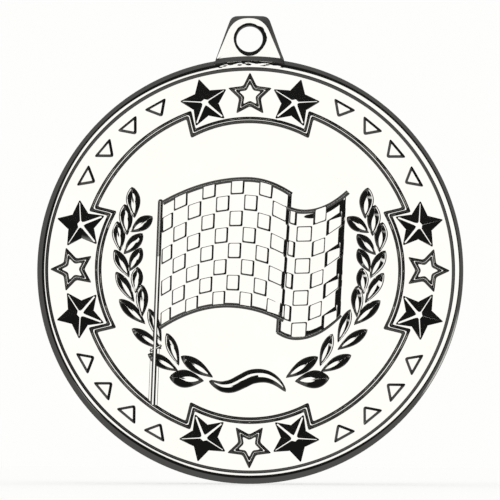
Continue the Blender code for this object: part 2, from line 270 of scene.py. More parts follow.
# Lug
LUG_TOP_HALF_WIDTH = 2.15
LUG_FOOT_HALF_WIDTH = 4.23
LUG_SHIFT = -0.10
LUG_SECTIONS = 240
LUG_FOOT_RADIUS = DISC_RADIUS - 0.02
# Outlines: left inset, right inset, corner, and how much further out than its radius the foot is
LUG_EDGE_OUTLINE = (0.0, 0.0, 0.65, -0.43)
LUG_FACE_OUTLINE = (0.33, 0.58, 1.9, 0.18)
LUG_BACK_OUTLINE = (0.15, 0.15, 0.65, 0.10)
# The face falls away to its edge by a flank, but at its foot it ramps up onto the rim's shoulder.
LUG_FLANK_TILT = 0.76
LUG_FLANK_DEPTH = 0.80
LUG_RAMP_TILT = 0.74
LUG_RAMP_RADIUS = DISC_RADIUS - 0.10
HOLE_CENTRE = (-0.14, 27.26)
HOLE_RADIUS = 1.56
# The worn lip round the hole: where it is wider, as (extra, direction, half width), and where it
# ripples most, as (direction, half width)
LIP_WIDTH = 0.27
LIP_EXTRAS = ((0.24, 5, 60), (0.12, 38, 16), (0.24, 272, 80))
LIP_TILT = 0.40
LIP_RIPPLE = 0.03
LIP_RIPPLES_PER_DEGREE = 0.09
LIP_RIPPLE_SIDE = (30, 60)

# Metals: colour, roughness, and how strong the painted shade on the relief's slopes is
FACE_METAL = ((0.86, 0.85, 0.82), 0.05, 0.0)
RELIEF_METAL = ((0.86, 0.85, 0.82), 0.05, 0.12)
LUG_METAL = ((0.85, 0.84, 0.81), 0.08, 0.0)
DULLED = (0.95, 0.95, 0.92)
# The colour of the painted shade on slopes that turn away from the front
SLOPE_SHADE_COLOUR = (0.10, 0.09, 0.08, 1)
# Where the painted shade on slopes starts and is full, as the share of a slope that faces the front
SLOPE_SHADE_FACING = (0.97, 0.80)
BLOTCHES_PER_MM = 0.18
SCRATCH_SCALE = (0.5, 4, 9)
SCRATCH_TURN = 28

# Studio. What the metal sees: a dim room, darker in front, and reflectors as (azimuth,
# elevation, full inside, none outside, brightness), with azimuth 0 straight ahead of the face.
ROOM_GLOW = 0.11
REFLECTORS = (
    (8, 9, 62, 74, -0.098),
    (135, -15, 7, 11, 0.9),
    (-46, -26, 3.5, 6.4, 0.34),
)
CARD = (0, 0, 50, 51, 1.50)
# The card's four sides: the axis that runs away from each, and where it starts and is full
CARD_SIDES = (
    ((1, 0, 0), -15.5, -13.5), ((-1, 0, 0), -19.5, -17.5),
    ((0, 0, 1), -8.5, -7), ((0, 0, -1), -14, -12),
)
BACKGROUND = (1.0, 1.0, 0.99, 1)
BACKGROUND_STRENGTH = 0.99
FLOOR_RADIUS = 60 * DISC_RADIUS
FLOOR_COLOUR = (0.5, 0.5, 0.495, 1)
FLOOR_GLOW = 0.49

# Camera
CAMERA_AZIMUTH = 2
CAMERA_ELEVATION = -3.5
CAMERA_ROLL = 0.22
CAMERA_LENS = 250
SENSOR_WIDTH = 36
FRAME_WIDTH = 58.71
CAMERA_TARGET = (0, -0.75, 2.40)


# ---------------------------------------------------------------- drawing in the plane

def polar(radius, degrees):
    angle = math.radians(degrees)
    return radius * math.cos(angle), radius * math.sin(angle)


def mix(first, second, share):
    return first + (second - first) * share


def ramp(value, start, full):
    """From 0 at the start, and before it, to 1 where it is full, and after it."""
    return max(0.0, min(1.0, (value - start) / (full - start)))


def arc(radius, first, last, steps):
    return [polar(radius, mix(first, last, step / steps)) for step in range(steps + 1)]


def bump(degrees, centre, half_width):
    """A smooth hump of height 1 round one direction."""
    away = abs((degrees - centre + 180) % 360 - 180) / half_width
    return math.cos(min(1.0, away) * math.pi / 2) ** 2


def side_vectors(points, closed=True):
    """For each point of a line, the mitred vector that points to its right, for a unit offset."""
    vectors = []
    count = len(points)
    for index, (x, y) in enumerate(points):
        before = points[index - 1] if closed or index > 0 else None
        after = points[(index + 1) % count] if closed or index < count - 1 else None
        normals = []
        for start, end in ((before, (x, y)), ((x, y), after)):
            if start is None or end is None:
                continue
            dx, dy = end[0] - start[0], end[1] - start[1]
            length = math.hypot(dx, dy)
            normals.append((dy / length, -dx / length))
        if len(normals) == 1:
            normals *= 2
        (ax, ay), (bx, by) = normals
        spread = max(MITRE_LIMIT, 1 + ax * bx + ay * by)
        vectors.append(((ax + bx) / spread, (ay + by) / spread))
    return vectors


def offset(points, distance):
    """A closed outline, drawn anticlockwise, moved outwards by a distance."""
    moved = []
    for (x, y), (side_x, side_y) in zip(points, side_vectors(points)):
        moved.append((x + side_x * distance, y + side_y * distance))
    return moved


def rounded(points, radius, steps=4):
    """A closed outline with each corner replaced by a short curve."""
    curved = []
    count = len(points)
    for index, corner in enumerate(points):
        before, after = Vector(points[index - 1]), Vector(points[(index + 1) % count])
        corner = Vector(corner)
        reach_in = min(radius, (before - corner).length * CORNER_LIMIT)
        reach_out = min(radius, (after - corner).length * CORNER_LIMIT)
        start = corner + (before - corner).normalized() * reach_in
        end = corner + (after - corner).normalized() * reach_out
        for step in range(steps + 1):
            share = step / steps
            point = start.lerp(corner, share).lerp(corner.lerp(end, share), share)
            curved.append((point.x, point.y))
    return curved


def star_points(centre, direction, tip, waist):
    """Five points, the first of them pointing in a direction."""
    points = []
    for corner in range(10):
        x, y = polar(waist if corner % 2 else tip, direction + corner * 36)
        points.append((centre[0] + x, centre[1] + y))
    return points


# ---------------------------------------------------------------- meshes

def stand(across, up, height):
    """A point of the drawing in the frame, with the face's stretch."""
    share = ramp(math.hypot(across, up), DISC_RADIUS, RIM_STEP_TOP)
    wide = FACE_STRETCH * share * (across - STRETCH_LEAN * up)
    tall = -FACE_STRETCH * share * (up + STRETCH_LEAN * across)
    return Vector(((across + wide) * MM, -height * MM, (up + tall) * MM))


def skin(bm, rings, wrap=False):
    """Joins closed rings of vertices by quads. Wrapped, the last ring joins the first."""
    pairs = list(zip(rings, rings[1:]))
    if wrap:
        pairs.append((rings[-1], rings[0]))
    for low, high in pairs:
        count = len(low)
        for index in range(count):
            after = (index + 1) % count
            bm.faces.new((low[index], low[after], high[after], high[index]))


def loft(bm, loops):
    """A closed solid through loops of (across, up, height), capped at both ends."""
    rings = [[bm.verts.new(stand(*point)) for point in loop] for loop in loops]
    skin(bm, rings)
    bm.faces.new(list(reversed(rings[0])))
    bm.faces.new(rings[-1])


def sweep(bm, path, section, widths=None, base=FIELD):
    """A raised line. Its section is (side, height over the base) from left to right."""
    rings = []
    widths = widths or [1] * len(path)
    sides = side_vectors(path, closed=False)
    for (across, up), (side_x, side_y), width in zip(path, sides, widths):
        ring = []
        for side, height in section:
            place = side * width
            level = base + (height * width if height > 0 else height)
            ring.append(bm.verts.new(stand(across + side_x * place, up + side_y * place, level)))
        rings.append(ring)
    skin(bm, rings)
    bm.faces.new(list(reversed(rings[0])))
    bm.faces.new(rings[-1])


def flank(start, crest, rise):
    """Half a bead's section: a flank of one tilt down from the crest, and a low wall under it."""
    foot = max(FOOT, rise - FLANK_TILT * abs(crest - start))
    across, up = FLANK_EASE
    return [(start, foot), (mix(start, crest, across), mix(foot, rise, up)), (crest, rise)]


def bead_section(left, crest_left, crest_right, right, rise, root=ROOT_DEPTH):
    """A raised bead between two feet, with a narrow flat crest."""
    up = flank(left, crest_left, rise)
    down = flank(right, crest_right, rise)[::-1]
    return [(left, -root)] + up + down + [(right, -root)]


def outline_bead(bm, outline, section, rounding):
    """A raised line round a closed outline, its corners rounded at every level of its section."""
    rings = []
    for side, height in section:
        loop = rounded(offset(outline, side), rounding)
        rings.append([bm.verts.new(stand(across, up, FIELD + height)) for across, up in loop])
    skin(bm, rings, wrap=True)


def smooth_line(points, steps):
    """A curve through points, with its ends' directions carried on."""
    knots = [Vector(point) for point in points]
    knots = [knots[0] * 2 - knots[1]] + knots + [knots[-1] * 2 - knots[-2]]
    spans = len(knots) - 3
    line = []
    for step in range(steps + 1):
        span = min(spans - 1, int(step * spans / steps))
        t = step * spans / steps - span
        a, b, c, d = knots[span:span + 4]
        point = b * 2 + (c - a) * t + (a * 2 - b * 5 + c * 4 - d) * t * t
        point = (point + (b * 3 - c * 3 + d - a) * t ** 3) / 2
        line.append((point.x, point.y))
    return line


def make_piece(name, bm, material, sharp):
    """The finished piece, smooth but for the edges that are sharper than some degrees."""
    bmesh.ops.recalc_face_normals(bm, faces=bm.faces[:])
    mesh = bpy.data.meshes.new(name)
    bm.to_mesh(mesh)
    bm.free()
    mesh.shade_smooth()
    mesh.set_sharp_from_angle(angle=math.radians(sharp))
    mesh.materials.append(material)
    obj = bpy.data.objects.new(name, mesh)
    bpy.context.scene.collection.objects.link(obj)
    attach(obj, "root")
    return obj


# ---------------------------------------------------------------- materials

def add_node(tree, kind, inputs, **settings):
    """A shader node. Each input is a value or another node's output."""
    node = tree.nodes.new("ShaderNode" + kind)
    for name, value in settings.items():
        setattr(node, name, value)
    connect(tree, node, inputs)
    return node


def connect(tree, node, inputs):
    for name, value in inputs.items():
        if isinstance(value, bpy.types.NodeSocket):
            tree.links.new(value, node.inputs[name])
        else:
            node.inputs[name].default_value = value


def add_math(tree, operation, *values):
    return add_node(tree, "Math", dict(enumerate(values)), operation=operation).outputs["Value"]


def add_dot(tree, *vectors):
    dot = add_node(tree, "VectorMath", dict(enumerate(vectors)), operation="DOT_PRODUCT")
    return dot.outputs["Value"]


def add_ramp(tree, value, start, full, low, high, kind="SMOOTHSTEP"):
    inputs = {"Value": value, "From Min": start, "From Max": full, "To Min": low, "To Max": high}
    return add_node(tree, "MapRange", inputs, interpolation_type=kind).outputs["Result"]


def polished_metal(name, colour, roughness, slope_shade_strength):
    """Bright plated metal: fine polishing scratches, and painted shade that darkens the relief's
    slopes.
    """
    material = bpy.data.materials.new(name)
    material.use_nodes = True
    tree = material.node_tree
    place = add_node(tree, "TexCoord", {}).outputs["Object"]
    normal = add_node(tree, "NewGeometry", {}).outputs["Normal"]

    # Painted shade: the colour darkens where a slope turns away from the front, standing in for its
    # dark reflection.
    facing = add_math(tree, "ABSOLUTE", add_dot(tree, normal, (0, 1, 0)))
    slope_shade = add_ramp(tree, facing, *SLOPE_SHADE_FACING, 0.0, slope_shade_strength)
    blotch = add_node(tree, "TexNoise", {
        "Scale": BLOTCHES_PER_MM / MM, "Detail": 4, "Vector": place,
    }).outputs["Fac"]
    dulled = [part * share for part, share in zip(colour, DULLED)]
    unshaded_colour = add_node(tree, "Mix", {
        "A": (*colour, 1), "B": (*dulled, 1), "Factor": blotch,
    }, data_type="RGBA").outputs["Result"]
    tint = add_node(tree, "Mix", {
        "B": SLOPE_SHADE_COLOUR, "Factor": slope_shade, "A": unshaded_colour,
    }, data_type="RGBA").outputs["Result"]

    stretched = add_node(tree, "Mapping", {
        "Rotation": (0, math.radians(SCRATCH_TURN), 0),
        "Scale": [size / MM for size in SCRATCH_SCALE],
        "Vector": place,
    }).outputs["Vector"]
    scratches = add_node(tree, "TexNoise", {
        "Scale": 1.0, "Detail": 6, "Roughness": 0.7, "Vector": stretched,
    }).outputs["Fac"]
    scratched = add_node(tree, "Bump", {
        "Strength": 0.05, "Distance": 0.01 * MM, "Height": scratches,
    }).outputs["Normal"]
    connect(tree, tree.nodes["Principled BSDF"], {
        "Metallic": 1.0,
        "Base Color": tint,
        "Roughness": add_ramp(tree, blotch, 0, 1, roughness * 0.7, roughness * 1.3, "LINEAR"),
        "Normal": scratched,
    })
    return material


# ---------------------------------------------------------------- the disc and its border

def arc_profile(start, low_tilt, high_tilt, span, steps):
    """A convex arc that spans a radial distance while its slope goes from one tilt to another."""
    low, high = math.radians(low_tilt), math.radians(high_tilt)
    bend = span / (math.sin(high) - math.sin(low))
    points = []
    for step in range(1, steps + 1):
        tilt = mix(low, high, step / steps)
        radius = start[0] + bend * (math.sin(tilt) - math.sin(low))
        points.append((radius, start[1] - bend * (math.cos(low) - math.cos(tilt))))
    return points


def disc_profile():
    """The section of the struck blank, from the middle of the face round the edge to the back."""
    points = [(radius, FIELD) for radius in (*FIELD_RINGS, RIM_STEP_FOOT)]
    across = RIM_STEP_TOP - RIM_STEP_FOOT
    foot = RIM_FRONT - FLANK_TILT * across
    steps = 6
    for step in range(steps + 1):
        eased = (1 - math.cos(math.pi * step / steps)) / 2
        share = mix(step / steps, eased, RIM_STEP_ROUNDNESS)
        radius = RIM_STEP_FOOT + 0.01 + step / steps * (across - 0.01)
        points.append((radius, mix(foot, RIM_FRONT, share)))
    points += arc_profile(points[-1], 0, CROWN_DEGREES, CROWN_EDGE - RIM_STEP_TOP, 5)
    points += arc_profile(points[-1], CROWN_DEGREES, SHOULDER_DEGREES, SHOULDER - CROWN_EDGE, 8)
    points += arc_profile(points[-1], SHOULDER_DEGREES, 90, DISC_RADIUS - SHOULDER, 14)
    steps = 12
    for step in range(steps + 1):
        angle = math.radians(90 * step / steps)
        points.append((
            DISC_RADIUS - BACK_ROUND * (1 - math.cos(angle)),
            RIM_BACK + BACK_ROUND * (1 - math.sin(angle)),
        ))
    return points + list(BACK_PROFILE)


def tool_marks(radius, height, degrees):
    """How far the front of the rim is dented under the lug, where the braze was dressed by hand."""
    if height < FIELD:
        return 0.0
    near_lug = ramp(abs(degrees - 90), *TOOL_MARK_ANGLES)
    on_crown = ramp(abs(radius - TOOL_MARK_RADIUS), TOOL_MARK_HALF_WIDTH, 0)
    place = (degrees * TOOL_MARKS_PER_DEGREE, radius * TOOL_MARKS_PER_MM, 3.1)
    return TOOL_MARK_DEPTH * near_lug * on_crown * noise.noise(Vector(place))


def crown_shift(radius, height, degrees):
    """How much further out the rim's crown reaches, since it was polished by hand."""
    if height < FIELD:
        return 0.0
    share = ramp(radius, RIM_STEP_TOP, CROWN_EDGE) * ramp(radius, DISC_RADIUS, CROWN_EDGE)
    return share * sum(shift * bump(degrees, *where) for shift, *where in CROWN_SHIFTS)


def make_disc(material):
    bm = bmesh.new()
    centre = bm.verts.new(stand(0, 0, FIELD))
    rings = []
    for radius, height in disc_profile():
        ring = []
        for section in range(DISC_SECTIONS):
            degrees = 360 * section / DISC_SECTIONS
            x, y = polar(radius + crown_shift(radius, height, degrees), degrees)
            marked = min(RIM_FRONT, height + tool_marks(radius, height, degrees))
            ring.append(bm.verts.new(stand(x, y, marked)))
        rings.append(ring)
    for index in range(DISC_SECTIONS):
        bm.faces.new((centre, rings[0][index], rings[0][(index + 1) % DISC_SECTIONS]))
    skin(bm, rings)
    bm.faces.new(rings[-1])
    disc = make_piece("struck_disc", bm, material, sharp=40)
    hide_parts("medal_disc")


def bead_path():
    """The bead's centre line: a ring that steps inwards round each group of stars."""
    points = []
    steps = 60
    for cardinal in CARDINALS:
        for step in range(steps + 1):
            if step in (1, 2, steps - 2, steps - 1):
                continue
            share = 2 * step / steps - 1
            radius = mix(NOTCH_RADIUS, NOTCH_CORNER_RADIUS, share * share)
            points.append(polar(radius, cardinal + share * NOTCH_HALF_ANGLE))
        outer = arc(BEAD_RADIUS, cardinal + NOTCH_MOUTH, cardinal + 90 - NOTCH_MOUTH, steps)
        points += [outer[0]] + outer[3:-3] + [outer[-1]]
    return points


def make_bead(material):
    bm = bmesh.new()
    section = bead_section(-BEAD_HALF_WIDTH, -BEAD_CREST, BEAD_CREST, BEAD_HALF_WIDTH, BEAD_RISE)
    outline_bead(bm, bead_path(), section, BEAD_ROUNDING)
    make_piece("border_bead", bm, material, sharp=60)


def make_outlined_stars(material):
    """Each star is a raised line that runs inside its outline, wider on its outer side."""
    bm = bmesh.new()
    section = bead_section(*OUTLINED_LINE, BEAD_RISE)
    for cardinal in CARDINALS:
        centre = polar(OUTLINED_CENTRE, cardinal)
        outline = star_points(centre, cardinal, OUTLINED_TIP, OUTLINED_WAIST)
        outline_bead(bm, outline, section, BEAD_ROUNDING)
    make_piece("outlined_stars", bm, material, sharp=60)


def add_faceted_star(bm, centre, outward):
    """Five roof-like arms round a flat hub. Arms that point into the disc have broader ridges."""
    def point(radius, angle, side, height):
        x, y = polar(radius, angle)
        side_x, side_y = polar(side, angle + 90)
        place = centre[0] + x + side_x, centre[1] + y + side_y
        return bm.verts.new(stand(*place, FIELD + height))

    hub_ring, skirt_ring, root_ring = [], [], []
    arms = []
    for arm in range(5):
        angle = outward + arm * 72
        inward = (1 - math.cos(math.radians(arm * 72))) / 2
        ridge, tip_share = FACETED_RIDGES[min(arm, 5 - arm)]
        ridge_start = FACETED_HUB * mix(FACETED_OUTWARD_HUB, 1.0, inward)
        ridge_end, narrow = FACETED_TIP * FACETED_RIDGE_END, ridge * FACETED_RIDGE_TAPER
        tip_rise = FACETED_RISE * tip_share
        right = point(ridge_start, angle, -ridge, FACETED_RISE)
        left = point(ridge_start, angle, ridge, FACETED_RISE)
        tip_right = point(ridge_end, angle, -narrow, tip_rise)
        tip_left = point(ridge_end, angle, narrow, tip_rise)
        tip_edge = [point(FACETED_TIP, angle, side * FACETED_BLUNTNESS, FOOT) for side in (-1, 1)]
        valley = point(FACETED_HUB * FACETED_VALLEY, angle + 36, 0, FACETED_RISE)
        waist = point(FACETED_WAIST, angle + 36, 0, FOOT)
        hub_ring += [right, left, valley]
        skirt_ring += tip_edge + [waist]
        root_ring += [
            point(FACETED_TIP, angle, -FACETED_BLUNTNESS, -ROOT_DEPTH),
            point(FACETED_TIP, angle, FACETED_BLUNTNESS, -ROOT_DEPTH),
            point(FACETED_WAIST, angle + 36, 0, -ROOT_DEPTH),
        ]
        arms.append((right, left, tip_right, tip_left, *tip_edge, valley, waist))
    for arm in range(5):
        right, left, tip_right, tip_left, edge_right, edge_left, valley, waist = arms[arm]
        before_valley, before_waist = arms[arm - 1][6:]
        bm.faces.new((right, tip_right, tip_left, left))
        bm.faces.new((tip_right, edge_right, edge_left, tip_left))
        bm.faces.new((left, tip_left, waist))
        bm.faces.new((tip_left, edge_left, waist))
        bm.faces.new((left, waist, valley))
        bm.faces.new((tip_right, right, before_waist))
        bm.faces.new((edge_right, tip_right, before_waist))
        bm.faces.new((right, before_valley, before_waist))
    bm.faces.new(hub_ring)
    skin(bm, [root_ring, skirt_ring])
    bm.faces.new(list(reversed(root_ring)))


def make_faceted_stars(material):
    bm = bmesh.new()
    for cardinal in CARDINALS:
        for side in (-1, 1):
            angle = cardinal + side * FACETED_SPREAD
            add_faceted_star(bm, polar(FACETED_CENTRE, angle), angle)
    make_piece("faceted_stars", bm, material, sharp=4)


def make_triangles(material):
    bm = bmesh.new()
    levels = ((0.0, ROOT), (0.0, FIELD - FOOT), (-TRIANGLE_BEVEL, FIELD + TRIANGLE_RISE))
    for cardinal in CARDINALS:
        for turn in TRIANGLE_OFFSETS:
            angle = cardinal + 45 + turn
            corners = [
                polar(TRIANGLE_BASE_RADIUS, angle - TRIANGLE_HALF_ANGLE),
                polar(TRIANGLE_BASE_RADIUS, angle + TRIANGLE_HALF_ANGLE),
                polar(TRIANGLE_TIP_RADIUS, angle),
            ]
            loops = []
            for outset, height in levels:
                outline = rounded(offset(corners, outset), TRIANGLE_ROUNDING + outset)
                loops.append([(across, up, height) for across, up in outline])
            loft(bm, loops)
    make_piece("border_triangles", bm, material, sharp=15)


# ---------------------------------------------------------------- laurel, scroll and pole

def add_blade(bm, line, half_width, core, profile, lift=0.0, ledge=0.0):
    """A leaf-like raised shape along a line: a wall, a steep skirt, a sloping body, a flat crest.

    The line's share from start to end gives the half width by one function; core is the crest's
    own (start share, end share, half width, offset to the right), and profile scales its half
    width along it. A ledge is a narrow flat step over the skirt on the right-hand side.
    """
    count = len(line) - 1
    sides = side_vectors(line, closed=False)
    core_start, core_end, core_half, core_shift = core
    skirt_top = SKIRT_FOOT + FLANK_TILT * SKIRT
    core_top = skirt_top + BODY_TILT * (half_width(0.5) - core_half - SKIRT)

    def at(share):
        place = min(count - 1e-6, share * count)
        index = int(place)
        t = place - index
        point = [mix(line[index][axis], line[index + 1][axis], t) for axis in (0, 1)]
        side = [mix(sides[index][axis], sides[index + 1][axis], t) for axis in (0, 1)]
        return point, side

    def loop(deep, deep_share, height=None):
        """Up the right-hand side and down the left, some way in but at most a share of the way."""
        points = []
        for step in range(2 * count):
            hand = 1 if step <= count else -1
            share = step / count if hand == 1 else 2 - step / count
            (edge_x, edge_y), (side_x, side_y) = at(share)
            reach = half_width(share) * hand
            edge_x, edge_y = edge_x + side_x * reach, edge_y + side_y * reach
            (core_x, core_y), (side_x, side_y) = at(mix(core_start, core_end, share))
            reach = core_half * profile(share) * hand + core_shift
            core_x, core_y = core_x + side_x * reach, core_y + side_y * reach
            span = math.dist((edge_x, edge_y), (core_x, core_y))
            depth = min(deep, deep_share * span)
            step_in = LEDGE * ledge if hand == 1 and 0 < step < count else 0.0
            body = max(0.0, depth - SKIRT - step_in) / max(0.01, span - SKIRT - step_in)
            risen = lift + SKIRT_FOOT + FLANK_TILT * min(depth, SKIRT)
            risen = mix(risen, core_top + lift, min(1.0, body))
            level = depth / span
            points.append((
                mix(edge_x, core_x, level), mix(edge_y, core_y, level),
                FIELD + (risen if height is None else height),
            ))
        return points

    loft(bm, [
        loop(0.0, 0.0, -ROOT_DEPTH), loop(0.0, 0.0), loop(SKIRT, SKIRT_LIMIT),
        loop(SKIRT + LEDGE * max(LEDGE_LEAST, ledge), LEDGE_LIMIT), loop(math.inf, 1.0),
    ])


def swell(share, lean, bluntness):
    """A hump from 0 at both ends to 1 in between. A lean over 1 moves its top towards the end."""
    return max(0.0, math.sin(math.pi * share ** lean)) ** bluntness


def leaf_crest(share):
    """A leaf's crest is a pointed slit over its lower part, and a ridge from there to its tip."""
    return max(0.01, swell(min(1.0, share / LEAF_SLIT_END), *LEAF_SLIT_SWELL))


def make_laurel(material):
    for side, name in ((1, "laurel_right"), (-1, "laurel_left")):
        bm = bmesh.new()
        for order, (base, tip, width) in enumerate(LEAVES):
            def half_width(share):
                return width * LEAF_FULLNESS * swell(share, *LEAF_SWELL) + BLUNT_END

            start, end = (side * base[0], base[1]), (side * tip[0], tip[1])
            ledge = 0.0
            if tip[0] - base[0] > LEDGE_MOST_INWARD:
                ledge = ramp((tip[1] - base[1]) / math.dist(base, tip), *LEDGE_SINES)
            line = smooth_line([start, end], steps=24)
            lift = LEAF_LIFT * (order % 5)
            slit = width * LEAF_SLIT_FULLNESS
            if side == 1:
                core = (*LEAF_CREST, slit, 0.0)
                add_blade(bm, line, half_width, core, leaf_crest, lift, ledge)
            else:
                core = (1 - LEAF_CREST[1], 1 - LEAF_CREST[0], slit, 0.0)
                add_blade(bm, line[::-1], lambda share: half_width(1 - share), core,
                          lambda share: leaf_crest(1 - share), lift, ledge)
        make_piece(name, bm, material, sharp=20)


def make_scroll(material):
    def half_width(share):
        return SCROLL_HALF_WIDTH * swell(share, *SCROLL_SWELL) + BLUNT_END

    bm = bmesh.new()
    add_blade(bm, smooth_line(SCROLL_LINE, steps=60), half_width, SCROLL_CREST,
              lambda share: swell(share, *SCROLL_CREST_SWELL))
    make_piece("scroll", bm, material, sharp=20)


def rod(bm, start, end, width, rise, crest, round_end=False):
    """A raised bar from one point to another, rounded at its start and maybe at its end."""
    steps = 40
    length = math.dist(start, end)
    path, widths = [], []
    for step in range(steps + 1):
        share = (1 - math.cos(math.pi * step / steps)) / 2
        path.append((mix(start[0], end[0], share), mix(start[1], end[1], share)))
        away = min(share, 1 - share) if round_end else share
        inside = ramp(away * length, 0, width / 2)
        widths.append(max(ROD_TIP_WIDTH, math.sqrt(1 - (1 - inside) ** 2)))
    section = bead_section(-width / 2, -crest, crest, width / 2, rise)
    sweep(bm, path, section, widths)


def make_pole(material):
    def along(share):
        return tuple(mix(POLE_TOP[axis], POLE_FOOT[axis], share) for axis in (0, 1))

    collar = along(COLLAR_PLACE)
    start, end = [(collar[0] + across, collar[1] + up) for across, up in COLLAR_ENDS]
    bm = bmesh.new()
    rod(bm, POLE_TOP, POLE_FOOT, *POLE_ROD)
    rod(bm, POLE_TOP, along(RIDGE_END), *RIDGE_ROD)
    sweep(bm, [collar, POLE_FOOT], bead_section(*STRIP))
    rod(bm, start, end, *COLLAR_ROD, round_end=True)
    make_piece("flag_pole", bm, material, sharp=15)


# ---------------------------------------------------------------- flag

def arch(across, crest):
    crest_across, crest_up, bend_left, bend_right = crest
    away = across - crest_across
    return crest_up + (bend_left if away < 0 else bend_right) * away * away


def panel_point(panel, share_across, share_down):
    ends = []
    for edge, crest in enumerate((panel["top"], panel["bottom"])):
        left, right = panel["left"][edge], panel["right"][edge]
        across = mix(left, right, share_across)
        ends.append((across, arch(across, crest)))
    (top_x, top_y), (bottom_x, bottom_y) = ends
    return mix(top_x, bottom_x, share_down), mix(top_y, bottom_y, share_down)


def edge_dip(share_down, start, full):
    """How far the cloth has dropped towards the hem of its top or bottom edge, from 0 to 1."""
    return ramp(min(share_down, 1 - share_down), start, full)


def near_cloth(share_across, share_down):
    """The near panel, gently domed, which turns under at its right-hand end.

    Where a row ends in a check the fold is at that check, and otherwise a little further on.
    """
    row = int(share_down * FLAG_ROWS)
    fold = NEAR_CHECK_FOLD if row % 2 else NEAR_PLAIN_FOLD if row else NEAR_TOP_FOLD
    dome = NEAR_DOME_RISE * ramp(share_across, *NEAR_DOME) ** 2
    level = NEAR_PANEL["rise"] + dome * (1 - edge_dip(share_down, *NEAR_DIP))
    return FIELD + mix(level, NEAR_UNDER, ramp(share_across, *fold))


def far_cloth(share_across, share_down):
    """The far panel, which rises away from the fold and falls again at its right-hand edge."""
    risen = math.sin(math.pi / 2 * min(1.0, share_across / FAR_RISE_END)) ** 2
    level = mix(FAR_PANEL["rise"], FAR_CREST, risen)
    level = mix(level, FAR_DIP_HEIGHT, risen * edge_dip(share_down, *FAR_DIP))
    start, low = FAR_FALLS[int(share_down * FLAG_ROWS) % 2]
    level = mix(level, min(low, level), ramp(share_across, start, FAR_FALL_END))
    return FIELD + mix(level, FAR_UNDER, ramp(share_across, *FAR_FOLD))


def add_cloth(bm, panel, cloth):
    """The panel as a closed sheet: a grid on top, straight sides and a flat root."""
    shares, rows = panel["shares"], 80
    grid = []
    for row in range(rows + 1):
        line = []
        for share in shares:
            across, up = panel_point(panel, share, row / rows)
            line.append(bm.verts.new(stand(across, up, cloth(share, (row - 0.5) / rows))))
        grid.append(line)
    for upper, lower in zip(grid, grid[1:]):
        for index in range(len(shares) - 1):
            bm.faces.new((upper[index], lower[index], lower[index + 1], upper[index + 1]))
    edge = grid[0][::-1] + [line[0] for line in grid[1:]]
    edge += grid[-1][1:] + [line[-1] for line in grid[-2:0:-1]]
    root = [bm.verts.new(Vector((vertex.co.x, -ROOT * MM, vertex.co.z))) for vertex in edge]
    skin(bm, [root, edge])
    bm.faces.new(list(reversed(root)))


def add_check(bm, panel, cloth, row, column):
    """A raised check, each of whose flanks has its own width."""
    start, end = panel["columns"][column:column + 2]
    left_flank, right_flank, bottom_flank, top_flank, skew, droop = panel["flanks"][column]
    width = panel["right"][0] - panel["left"][0]
    height = panel["top"][1] - panel["bottom"][1]

    def corners(level, lift):
        left = mix(start, end, CHECK_MARGIN) + level * left_flank / width
        right = mix(end, start, CHECK_MARGIN) - level * right_flank / width
        bottom = (row + 1 - CHECK_MARGIN) / FLAG_ROWS - level * bottom_flank / height
        top_left = (row + CHECK_MARGIN) / FLAG_ROWS + level * top_flank / height
        top_right = top_left + level * skew / height
        outline = [
            panel_point(panel, left, bottom), panel_point(panel, right, bottom),
            panel_point(panel, right, top_right), panel_point(panel, left, top_left),
        ]
        ends = rounded(outline, CHECK_ROUNDING)
        each = len(ends) // 4
        levels = [cloth(share, (row + 0.5) / FLAG_ROWS) for share in (left, right, right, left)]
        if level:
            levels[1] = levels[2] = max(levels[0] - CHECK_MOST_DROP, levels[1]) - droop
        return [(x, y, levels[index // each] + lift) for index, (x, y) in enumerate(ends)]

    across, up = CHECK_EASE
    loft(bm, [
        corners(0, CHECK_ROOT), corners(0, CHECK_FOOT),
        corners(across, up * CHECK_RISE), corners(1, CHECK_RISE),
    ])


def add_hem(bm, panel, side, base, first):
    """A rolled hem along one of the panel's edges, inside its outline. It may start late."""
    steps = 60
    shares = [mix(first, 1, step / steps) for step in range(steps + 1)]
    if side == "top":
        path = [panel_point(panel, share, 0) for share in shares]
    elif side == "bottom":
        path = [panel_point(panel, 1 - share, 1) for share in shares]
    else:
        path = [panel_point(panel, 0, share) for share in reversed(shares)]
    crest_left, crest_right = HEM_OUTSIDE + HEM_WIDTH * 0.49, HEM_OUTSIDE + HEM_WIDTH * 0.51
    section = bead_section(
        HEM_OUTSIDE, crest_left, crest_right, HEM_OUTSIDE + HEM_WIDTH, HEM_RISE,
        root=ROOT_DEPTH + base,
    )
    sweep(bm, path, section, base=FIELD + base)


def make_flag(material):
    for name, panel, cloth in (
        ("flag_far_panel", FAR_PANEL, far_cloth), ("flag_near_panel", NEAR_PANEL, near_cloth),
    ):
        bm = bmesh.new()
        add_cloth(bm, panel, cloth)
        for row in range(FLAG_ROWS):
            for column in range(panel["first_column"], len(panel["flanks"])):
                if (row + column) % 2:
                    add_check(bm, panel, cloth, row, column)
        for hem in panel["hems"]:
            add_hem(bm, panel, *hem)
        make_piece(name, bm, material, sharp=15)


# ---------------------------------------------------------------- lug

def reach(outline, degrees):
    """How far an outline round the hole is from the hole's centre in one direction."""
    angle = math.radians(degrees)
    ray = Vector((math.cos(angle), math.sin(angle)))
    centre = Vector(HOLE_CENTRE)
    far = 0.0
    for index, end in enumerate(outline):
        start, span = Vector(outline[index - 1]), Vector(end) - Vector(outline[index - 1])
        cross = ray.x * span.y - ray.y * span.x
        if abs(cross) < 1e-9:
            continue
        gap = start - centre
        along = (gap.x * span.y - gap.y * span.x) / cross
        share = (gap.x * ray.y - gap.y * ray.x) / cross
        if along > 0 and -1e-6 <= share <= 1 + 1e-6:
            far = max(far, along)
    return far


